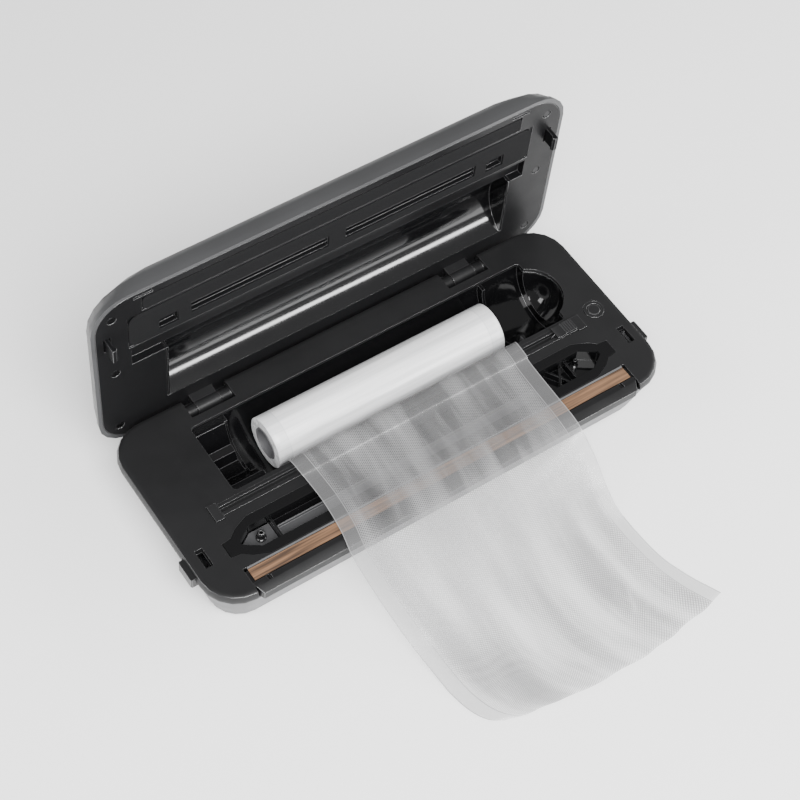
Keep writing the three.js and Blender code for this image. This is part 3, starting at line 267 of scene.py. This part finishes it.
FINISH["steel"] = metal("drawn steel", (0.62, 0.62, 0.63), 0.28)
FINISH["screw"] = metal("blackened screw steel", (0.028, 0.028, 0.029), 0.3, (1, 1, 1))
print("metals")

# %% [markdown]
# The sealing tape is glass cloth coated with a brown slip layer. Use leaves it streaked along its length,
# and the weave shows as faint cross lines. Streaks and weave are both made from stretched noise and waves.

# %% Sealing tape


def sealing_tape():
    material, tree, shader = new_material("sealing tape")
    streaks = add_noise(tree, 520, 6, (0.035, 1, 1))
    worn = add_range(tree, streaks, 0, 1, 0.36, 0.64)
    colour = add_mix(tree, worn, (0.045, 0.026, 0.016), (0.185, 0.102, 0.056))
    tree.links.new(colour, shader.inputs["Base Color"])
    tree.links.new(add_range(tree, streaks, 0.5, 0.38), shader.inputs["Roughness"])
    weave = add_noise(tree, 1500, 2, (1, 0.15, 1))
    tree.links.new(add_bump(tree, weave, 0.2, 0.0001), shader.inputs["Normal"])
    return material


FINISH["tape"] = sealing_tape()
print("sealing tape, streaked along its length")

# %% [markdown]
# The circuit boards are never seen with the case closed, but they are part of the machine:
# green lacquer, with copper tracks as a blocky pattern just under it.

# %% Circuit board


def circuit_board():
    material, tree, shader = new_material("circuit board")
    place = tree.nodes.new("ShaderNodeTexCoord")
    tracks = tree.nodes.new("ShaderNodeTexBrick")
    tracks.inputs["Scale"].default_value = 140
    tracks.inputs["Color1"].default_value = (0.012, 0.09, 0.03, 1)
    tracks.inputs["Color2"].default_value = (0.02, 0.12, 0.045, 1)
    tracks.inputs["Mortar"].default_value = (0.05, 0.2, 0.07, 1)
    tree.links.new(place.outputs["Object"], tracks.inputs["Vector"])
    tree.links.new(tracks.outputs["Color"], shader.inputs["Base Color"])
    shader.inputs["Roughness"].default_value = 0.35
    return material


FINISH["board"] = circuit_board()
print("circuit board")

# %% [markdown]
# Each CAD part now gets its finish. The ones hidden inside the case keep their CAD meshes,
# and so do the tape, the edging and the blade.

# %% What each part wears
WEARS = {
    "shell": ["base_shell"],
    "deck": ["deck", "rail_end", "cutter_rail", "deck_button", "deck_button_ring",
             "latch_button_left", "latch_button_right"],
    "dark": ["heater_bar", "latch_switch_left", "latch_switch_right"],
    "lid": ["lid_cover"],
    "inner": ["lid_inner_panel", "latch_hook_left", "latch_hook_right"],
    "bay": ["lid_roll_bay"],
    "gloss": ["roll_trough", "vacuum_chamber", "vacuum_nozzle", "control_panel"],
    "part": ["cutter_slider", "rail_cap", "hinge_arm_left", "hinge_arm_right", "power_inlet"],
    "fitting": ["pump_head", "roll_core"]
    + [f"control_key_{i}" for i in range(1, 5)],
    "tray": ["drip_tray", "intake_plate"],
    "gasket": ["lower_gasket"],
    "pad": ["upper_foam", "pressing_strip"],
    "rubber": ["vacuum_hose"] + [f"foot_{i}" for i in range(1, 5)],
    "steel": ["edge_trim", "heater_element", "cutter_blade", "hinge_pin_left", "hinge_pin_right",
              "pump_motor", "pump_crank", "power_transformer"],
    "screw": [f"lid_screw_{i}" for i in range(1, 7)],
    "tape": ["heater_tape"],
    "board": ["power_board", "control_board"],
}
KEPT_AS_CAD = {
    "pump_head", "latch_switch_left", "latch_switch_right", "vacuum_hose", "heater_element",
    "pump_motor", "pump_crank", "power_transformer", "power_board", "control_board",
    "hinge_pin_left", "hinge_pin_right", "heater_tape", "edge_trim", "cutter_blade",
}
BODY_OF = {name: body for body, names in frame["record"]["behaviour"]["bodies"].items() for name in names}
print(sum(len(names) for names in WEARS.values()), "parts,", len(KEPT_AS_CAD), "with their CAD mesh")

# %% [markdown]
# A moulding has no sharp edges: each is rounded by a few tenths of a millimetre, and that rounding
# catches the light as a thin bright line. So the parts that show are made again from the CAD shape:
# welded, then bevelled. The rounding is glossier than the faces, and it is also painted lighter,
# a painted highlight along each edge. The lid's cover is the exception, and gets no bevel.
# The triangles are kept: melted into big faces with holes in them, they came out of the bevel torn.
# A smooth-shaded corner takes the mean of the faces around it, which bends the light on a big flat
# next to a curve. Here each corner leans to the biggest flats that meet there instead.

# %% Cleaned mesh
WELD = 0.002 * MM


def cleaned_mesh(name, source):
    """The CAD shape, welded, with smooth faces."""
    shape = bmesh.new()
    shape.from_mesh(source)
    bmesh.ops.remove_doubles(shape, verts=shape.verts, dist=WELD)
    for face in shape.faces:
        face.smooth = True
    mesh = bpy.data.meshes.new(name)
    shape.to_mesh(mesh)
    shape.free()
    return mesh


print("corners closer than", round(WELD / MM, 4), "mm are welded")

# %% Shading by flats
FLAT_COSINE = math.cos(math.radians(0.4))
SHADED_COSINE = math.cos(math.radians(50))


def flats_of(shape):
    """Gathers the faces that lie in one plane: which flat each face is in, and each flat's pull."""
    flat_of = [-1] * len(shape.faces)
    pulls = []
    for first in sorted(shape.faces, key=lambda face: -face.calc_area()):
        if flat_of[first.index] >= 0:
            continue
        flat_of[first.index] = len(pulls)
        area = 0
        waiting = [first]
        while waiting:
            face = waiting.pop()
            area += face.calc_area()
            for other in (beside for edge in face.edges for beside in edge.link_faces):
                if flat_of[other.index] < 0 and other.normal.dot(first.normal) > FLAT_COSINE:
                    flat_of[other.index] = len(pulls)
                    waiting.append(other)
        pulls.append(first.normal * area)
    return flat_of, pulls


def shade_by_flats(mesh):
    """Each corner's normal leans to the biggest flats that meet there, so flats stay flat."""
    shape = bmesh.new()
    shape.from_mesh(mesh)
    shape.faces.ensure_lookup_table()
    flat_of, pulls = flats_of(shape)
    normals = []
    for face in shape.faces:
        for corner in face.loops:
            near = {
                flat_of[other.index]
                for other in corner.vert.link_faces
                if other.normal.dot(face.normal) > SHADED_COSINE
            }
            total = sum((pulls[i] for i in sorted(near)), Vector())
            normals.append(total.normalized() if total.length > 0 else face.normal.copy())
    shape.free()
    mesh.normals_split_custom_set(normals)


print("a corner is shaded with the flats within", round(math.degrees(math.acos(SHADED_COSINE))), "degrees")

# %% Rounded mouldings
EDGE_DEGREES = 32
BEVEL_STEPS = 2
PLAIN_ROUNDING = 0.3
ROUNDING = {
    "base_shell": 0.6, "lid_cover": 0, "upper_foam": 0.4, "pressing_strip": 0.4,
    "lower_gasket": 0.25, "deck": 0.2, "vacuum_chamber": 0.12, "cutter_slider": 0.2,
}
EDGE_OF = {
    "shell": "grey edge", "lid": "grey edge", "tray": "grey edge", "fitting": "grey edge",
    "gasket": "gasket", "pad": "pad", "rubber": "rubber", "screw": "screw",
}


def moulding(node, finish):
    """A part with its edges rounded; the rounding wears a glossier finish, painted lighter than the grained
    faces as a highlight.
    """
    piece = bpy.data.objects.new(f"{node}_moulded", cleaned_mesh(f"{node}_moulded", nodes[node].data))
    piece.data.materials.clear()
    piece.data.materials.append(FINISH[finish])
    piece.data.materials.append(FINISH[EDGE_OF.get(finish, "black edge")])
    bpy.context.scene.collection.objects.link(piece)
    rounding = ROUNDING.get(node, PLAIN_ROUNDING)
    if rounding > 0:
        bevel = piece.modifiers.new("rounded edges", "BEVEL")
        bevel.width = rounding * MM
        bevel.segments = BEVEL_STEPS
        bevel.limit_method = "ANGLE"
        bevel.angle_limit = math.radians(EDGE_DEGREES)
        bevel.use_clamp_overlap = False
        bevel.loop_slide = False
        # The rounding takes the second slot, the edge finish with its painted highlight.
        bevel.material = 1
    baked = bpy.data.meshes.new_from_object(piece.evaluated_get(bpy.context.evaluated_depsgraph_get()))
    piece.modifiers.clear()
    shade_by_flats(baked)
    piece.data = baked
    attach(piece, BODY_OF[node])
    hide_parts(node)
    return piece


faces = 0
for finish, names in WEARS.items():
    for name in names:
        if name in KEPT_AS_CAD:
            nodes[name].data.materials.clear()
            nodes[name].data.materials.append(FINISH[finish])
        else:
            faces += len(moulding(name, finish).data.polygons)
print("mouldings made, with", faces, "faces")

# %% [markdown]
# The bag comes as a flat tube of two thin films, heat-sealed down both sides, with one face embossed
# in a fine diamond mesh so that air can be drawn along it. It is clear, but it looks like a veil:
# over the black deck it is grey, over a white table it is nearly white. An alpha does that.
# The seams are clear hems with a fine line along their inner edge, so the alpha is drawn across the width.

# %% Film sizes and ridges
FILM_WIDTH = 0.2
HEM = 0.0115
MESH_PITCH = 0.0016


def add_math(tree, operation, first, second=None, third=None):
    step = tree.nodes.new("ShaderNodeMath")
    step.operation = operation
    for socket, value in zip(step.inputs, (first, second, third)):
        if value is None:
            continue
        if isinstance(value, (int, float)):
            socket.default_value = value
        else:
            tree.links.new(value, socket)
    return step.outputs["Value"]


def add_ridges(tree, along, across, slope, pitch):
    """Fine parallel ridges that slant by this slope: 0 in the valleys, 1 on the crests."""
    slant = add_math(tree, "MULTIPLY_ADD", across, slope, along)
    wave = add_math(tree, "SINE", add_math(tree, "MULTIPLY", slant, 2 * math.pi / pitch))
    return add_math(tree, "MULTIPLY_ADD", wave, 0.5, 0.5)


print("film", FILM_WIDTH, "m wide with", HEM, "m hems")

# %% Embossed film
MESH_SLOPE = 0.62
MESH_CONTRAST = 0.62
HEM_FADE = 0.0012
SEAM_HALF_WIDTH = 0.00035
CUT_EDGE_WIDTH = 0.0007
HEM_VEIL = 0.34
LINE_VEIL = 0.35
FOLD_SHADE_STRETCH = 0.16


def embossed_film():
    material, tree, shader = new_material("embossed film")
    flat = tree.nodes.new("ShaderNodeUVMap")
    flat.uv_map = "flat film"
    split = tree.nodes.new("ShaderNodeSeparateXYZ")
    tree.links.new(flat.outputs["UV"], split.inputs["Vector"])
    across, along = split.outputs["X"], split.outputs["Y"]
    mesh = add_math(
        tree,
        "MAXIMUM",
        add_ridges(tree, along, across, MESH_SLOPE, MESH_PITCH),
        add_ridges(tree, along, across, -MESH_SLOPE, MESH_PITCH),
    )
    from_edge = add_math(tree, "SUBTRACT", FILM_WIDTH / 2, add_math(tree, "ABSOLUTE", across))
    middle = add_range(tree, from_edge, 0, 1, HEM, HEM + HEM_FADE)
    seam = add_math(tree, "COMPARE", from_edge, HEM, SEAM_HALF_WIDTH)
    line = add_math(tree, "MAXIMUM", seam, add_math(tree, "LESS_THAN", from_edge, CUT_EDGE_WIDTH))
    # Stretched noise thickens and thins the veil in long streaks down the film: painted light and shade of
    # folds, carried in the alpha.
    fold_shade = tree.nodes.new("ShaderNodeTexNoise")
    fold_shade.inputs["Scale"].default_value = 42
    fold_shade.inputs["Detail"].default_value = 3
    pull = tree.nodes.new("ShaderNodeMapping")
    pull.inputs["Scale"].default_value = (1, FOLD_SHADE_STRETCH, 1)
    tree.links.new(flat.outputs["UV"], pull.inputs["Vector"])
    tree.links.new(pull.outputs["Vector"], fold_shade.inputs["Vector"])
    veil = add_range(tree, fold_shade.outputs["Fac"], 0.12, 0.62, 0.36, 0.68)
    woven = add_math(tree, "MULTIPLY_ADD", add_math(tree, "SUBTRACT", mesh, 0.5), MESH_CONTRAST, veil)
    body = tree.nodes.new("ShaderNodeMix")
    body.inputs["A"].default_value = HEM_VEIL
    tree.links.new(middle, body.inputs["Factor"])
    tree.links.new(woven, body.inputs["B"])
    alpha = add_math(tree, "MULTIPLY_ADD", line, LINE_VEIL, body.outputs["Result"])
    tree.links.new(alpha, shader.inputs["Alpha"])
    shader.inputs["Base Color"].default_value = (0.27, 0.27, 0.273, 1)
    shader.inputs["Roughness"].default_value = 0.2
    shader.inputs["Specular IOR Level"].default_value = 0.7
    height = add_math(tree, "MULTIPLY", mesh, middle)
    tree.links.new(add_bump(tree, height, 0.25, 0.00012), shader.inputs["Normal"])
    return material


FINISH["film"] = embossed_film()
print("embossed film")

# %% [markdown]
# Wound up, the same film is nearly white, because light scatters between its many turns.
# Grey streaks along its length are painted shade, standing in for the light and shade of the uneven turns.
# The hems show as a slightly greyer band at each end of the roll, behind a fine line.

# %% Wound film
ROLL_SEAM_HALF_WIDTH = 0.0004
HEM_BLEND = 0.4
SEAM_BLEND = 0.5


def wound_film():
    material, tree, shader = new_material("wound film")
    streaks = add_noise(tree, 170, 4, (0.03, 1, 1))
    # The colour runs from grey to white in streaks along the roll: painted shade lines. The same streaks
    # also set its roughness and bump, which are real.
    colour = add_mix(tree, add_range(tree, streaks, 0, 1), (0.56, 0.565, 0.57), (0.93, 0.93, 0.935))
    tree.links.new(add_range(tree, streaks, 0.2, 0.38), shader.inputs["Roughness"])
    shader.inputs["Specular IOR Level"].default_value = 0.6
    shader.inputs["Subsurface Weight"].default_value = 0.15
    shader.inputs["Subsurface Radius"].default_value = (1, 1, 1)
    shader.inputs["Subsurface Scale"].default_value = 0.004
    place = tree.nodes.new("ShaderNodeTexCoord")
    split = tree.nodes.new("ShaderNodeSeparateXYZ")
    tree.links.new(place.outputs["Object"], split.inputs["Vector"])
    middle = (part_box("film_roll")[0].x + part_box("film_roll")[1].x) / 2
    from_middle = add_math(tree, "ABSOLUTE", add_math(tree, "SUBTRACT", split.outputs["X"], middle))
    clear = add_math(tree, "GREATER_THAN", from_middle, FILM_WIDTH / 2 - HEM)
    seam = add_math(tree, "COMPARE", from_middle, FILM_WIDTH / 2 - HEM, ROLL_SEAM_HALF_WIDTH)
    banded = tree.nodes.new("ShaderNodeMix")
    banded.data_type = "RGBA"
    banded.inputs["B"].default_value = (0.56, 0.57, 0.58, 1)
    shade = add_math(tree, "MULTIPLY_ADD", seam, SEAM_BLEND, add_math(tree, "MULTIPLY", clear, HEM_BLEND))
    tree.links.new(shade, banded.inputs["Factor"])
    tree.links.new(colour, banded.inputs["A"])
    tree.links.new(banded.outputs["Result"], shader.inputs["Base Color"])
    ribs = add_ridges(tree, split.outputs["X"], split.outputs["Z"], 0.9, MESH_PITCH)
    uneven = add_math(tree, "MULTIPLY_ADD", ribs, 0.25, streaks)
    tree.links.new(add_bump(tree, uneven, 0.25, 0.0003), shader.inputs["Normal"])
    return material


FINISH["roll"] = wound_film()
print("wound film")

# %% [markdown]
# The roll is many turns of that film on a core. A plain tube would do for its outline,
# but wound film is never quite round: each turn pulls a slightly different line into the surface,
# and at the ends the turns stand a little in and out. So the roll is turned on a lathe in code,
# ring by ring, with both kinds of unevenness from seeded noise.

# %% Film roll
roll_low, roll_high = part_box("film_roll")
ROLL_AXIS = Vector((0, (roll_low.y + roll_high.y) / 2, (roll_low.z + roll_high.z) / 2))
ROLL_R = (roll_high.z - roll_low.z) / 2
CORE_R = (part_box("roll_core")[1].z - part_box("roll_core")[0].z) / 2 + 0.3 * MM
ROLL_SIDES = 120
END_TURNS = 26
LENGTH_STEPS = 40
LIP = 0.5 * MM


def lathe_ring(shape, x, radius, uneven):
    ring = []
    for i in range(ROLL_SIDES):
        turn = 2 * math.pi * i / ROLL_SIDES
        way = Vector((0, math.cos(turn), math.sin(turn)))
        stray = noise.noise(Vector((x * 6, way.y * 2.4, way.z * 2.4)))
        r = radius - uneven * (0.5 + 0.5 * stray)
        ring.append(shape.verts.new(ROLL_AXIS + way * r + Vector((x, 0, 0))))
    return ring


def wound_roll():
    shape = bmesh.new()
    x0, x1 = roll_low.x, roll_high.x
    end = []
    for i in range(END_TURNS):
        share = i / (END_TURNS - 1)
        step = (0.28 if i % 2 else 0.0) + 0.22 * noise.noise(Vector((i * 0.37, 4.1, 0)))
        end.append((abs(step) * MM, CORE_R + (ROLL_R - LIP - CORE_R) * share))
    lengths = [LIP + (x1 - x0 - 2 * LIP) * i / LENGTH_STEPS for i in range(LENGTH_STEPS + 1)]
    rings = [lathe_ring(shape, x0 + back, r, 0) for back, r in end]
    rings += [lathe_ring(shape, x0 + far, ROLL_R, 0.18 * MM) for far in lengths]
    rings += [lathe_ring(shape, x1 - back, r, 0) for back, r in reversed(end)]
    rings.append(rings[0])
    for low, high in zip(rings, rings[1:]):
        for i in range(ROLL_SIDES):
            j = (i + 1) % ROLL_SIDES
            shape.faces.new((low[i], low[j], high[j], high[i]))
    bmesh.ops.recalc_face_normals(shape, faces=shape.faces)
    mesh = bpy.data.meshes.new("wound_roll")
    shape.to_mesh(mesh)
    shape.free()
    for face in mesh.polygons:
        face.use_smooth = True
    roll = bpy.data.objects.new("wound_roll", mesh)
    bpy.context.scene.collection.objects.link(roll)
    mesh.materials.append(FINISH["roll"])
    return roll


wound = wound_roll()
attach(wound, "roll")
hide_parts("film_roll")
print("roll", round(ROLL_R * 2000, 1), "mm across")

# %% [markdown]
# The pulled-out film leaves the roll low at its front, climbs over the cutter's rail, lies over the
# vacuum chamber and the sealing bar, then falls to the table in a long slope and spreads.
# A cloth simulation would let such thin film crumple at random. A lofted sheet is surer:
# matching points down its two side edges set the fall, and every row between them is a straight
# thread, sagged and rippled a little. The left side falls later than the right,
# which is what gives the sheet its slow twist.

# %% Side edges of the film
FLAT_ON_TABLE = TABLE / MM + 0.5
EDGE_LEFT = [
    (-93, 9, 23),
    (-93, -1.5, 46),
    (-92, -5.5, 51.6),
    (-91, -18.4, 51.6),
    (-90, -23.5, 49.8),
    (-89.5, -46, 49.5),
    (-92, -72, 49.9),
    (-95, -92, 46),
    (-93.5, -114, 34.5),
    (-91, -133, 24),
    (-87, -156, 11),
    (-83.5, -177, 3.2),
    (-80.5, -198, FLAT_ON_TABLE + 0.5),
    (-76, -216, FLAT_ON_TABLE),
    (-69, -228, FLAT_ON_TABLE),
    (-60, -234, FLAT_ON_TABLE),
]
EDGE_RIGHT = [
    (107, 9, 23),
    (107, -1.5, 46),
    (106.5, -5.5, 51.6),
    (106, -18.4, 51.6),
    (105.5, -23.5, 49.8),
    (105, -46, 49.4),
    (104.6, -70, 49.6),
    (104.8, -80.5, 48.6),
    (106, -89, 43.5),
    (108.5, -99.5, 31),
    (109.8, -111, 18.5),
    (109, -126, 6.5),
    (108.6, -145, FLAT_ON_TABLE + 1),
    (111, -184, FLAT_ON_TABLE),
    (118.5, -210, FLAT_ON_TABLE),
    (130, -235, FLAT_ON_TABLE),
]


def curve_at(points, place):
    """A point on the smooth curve through these points (Catmull-Rom); place counts the points."""
    i = min(int(place), len(points) - 2)
    t = place - i
    a, b, c, d = (Vector(points[min(max(k, 0), len(points) - 1)]) for k in range(i - 1, i + 3))
    bend = 2 * a - 5 * b + 4 * c - d
    turn = 3 * b - a - 3 * c + d
    return 0.5 * (2 * b + (c - a) * t + bend * t * t + turn * t**3)


print(len(EDGE_LEFT), "stations down each side")

# %% [markdown]
# Film that hangs free is never flat. It has a slow swell, two long soft folds where it lands,
# and a few groups of short fine creases. Their heights are added up, and fade out where the film
# is still held taut over the machine and along its stiffer hems.

# %% Folds
LOOSE_FROM = 7
TABLE_FROM = 11
# centre, half length, half width, slant, pitch, height
CREASES = [
    ((-38, -198), 34, 13, math.radians(-14), 7, 0.9),
    ((6, -216), 26, 10, math.radians(-8), 6, 0.8),
    ((72, -206), 30, 14, math.radians(38), 11, 1.3),
    ((-62, -150), 24, 9, math.radians(-30), 6, 0.6),
]


def ease(value, low, high):
    t = min(1, max(0, (value - low) / (high - low)))
    return t * t * (3 - 2 * t)


def hill(value, centre, width):
    return math.exp(-(((value - centre) / width) ** 2))


def crease_group(x, y, centre, half_length, half_width, slant, pitch, height):
    """Short fine creases side by side: a ripple inside a soft oval window."""
    dx, dy = x - centre[0], y - centre[1]
    along = dx * math.cos(slant) + dy * math.sin(slant)
    over = -dx * math.sin(slant) + dy * math.cos(slant)
    wander = 1.6 * noise.noise(Vector((along * 0.03, over * 0.05, 7.7)))
    crest = 0.5 + 0.5 * math.cos(2 * math.pi * (over / pitch + wander))
    return height * crest**3 * hill(along, 0, half_length) * hill(over, 0, half_width)


def fold_height(x, y, across, place):
    """Height in mm that the loose film stands above its straight threads."""
    loose = ease(place, LOOSE_FROM, TABLE_FROM)
    slow = 0.5 + 0.5 * noise.noise(Vector((x * 0.014 + y * 0.008, y * 0.016, 1.3)))
    swell = 4.2 * slow * loose
    swell += 3.2 * loose * hill(x * 0.6 + y * 0.8, -92, 16) * hill(x, 62, 52)
    swell += 2.6 * loose * hill(x * 0.5 - y * 0.86, 205, 13) * hill(x, 20, 60)
    fine = sum(crease_group(x, y, *crease) for crease in CREASES)
    held = min(1, across * (1 - across) * 14)
    pleat = 0.5 + 0.5 * noise.noise(Vector((across * 7.5, place * 0.25, 3.1)))
    swell += (0.25 + 1.2 * loose) * pleat
    crinkle = 0.22 * loose * (1 + noise.noise(Vector((x * 0.09, y * 0.09, 0))))
    return (swell * held + fine * loose) + crinkle


print(len(CREASES), "groups of fine creases")

# %% Film sheet
ROWS_PER_STATION = 14
COLUMNS = 130
END_BOW = 13
RAGGED = 2.2


def film_point(across, place):
    left, right = curve_at(EDGE_LEFT, place), curve_at(EDGE_RIGHT, place)
    point = left.lerp(right, across)
    point.y -= END_BOW * ease(place, TABLE_FROM, len(EDGE_LEFT) - 1) * 4 * across * (1 - across)
    ragged = ease(place, len(EDGE_LEFT) - 3, len(EDGE_LEFT) - 1)
    point.y += RAGGED * ragged * noise.noise(Vector((point.x * 0.05, 2.2, 0)))
    point.z = max(point.z + fold_height(point.x, point.y, across, place), FLAT_ON_TABLE)
    return point * MM


def film_sheet():
    shape = bmesh.new()
    rows = []
    steps = (len(EDGE_LEFT) - 1) * ROWS_PER_STATION
    for i in range(steps + 1):
        place = i / ROWS_PER_STATION
        rows.append([shape.verts.new(film_point(j / COLUMNS, place)) for j in range(COLUMNS + 1)])
    flat = shape.loops.layers.uv.new("flat film")
    run = [0.0]
    for before, after in zip(rows, rows[1:]):
        run.append(run[-1] + (after[COLUMNS // 2].co - before[COLUMNS // 2].co).length)
    for i in range(steps):
        for j in range(COLUMNS):
            corners = ((i, j), (i + 1, j), (i + 1, j + 1), (i, j + 1))
            face = shape.faces.new([rows[r][c] for r, c in corners])
            face.smooth = True
            for loop, (r, c) in zip(face.loops, corners):
                loop[flat].uv = ((c / COLUMNS - 0.5) * FILM_WIDTH, run[r])
    mesh = bpy.data.meshes.new("pulled_film")
    shape.to_mesh(mesh)
    shape.free()
    mesh.materials.append(FINISH["film"])
    sheet = bpy.data.objects.new("pulled_film", mesh)
    bpy.context.scene.collection.objects.link(sheet)
    return sheet, run[-1]


pulled, film_length = film_sheet()
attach(pulled, "base")
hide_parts("film_sheet")
print("film", round(film_length * 1000), "mm long")
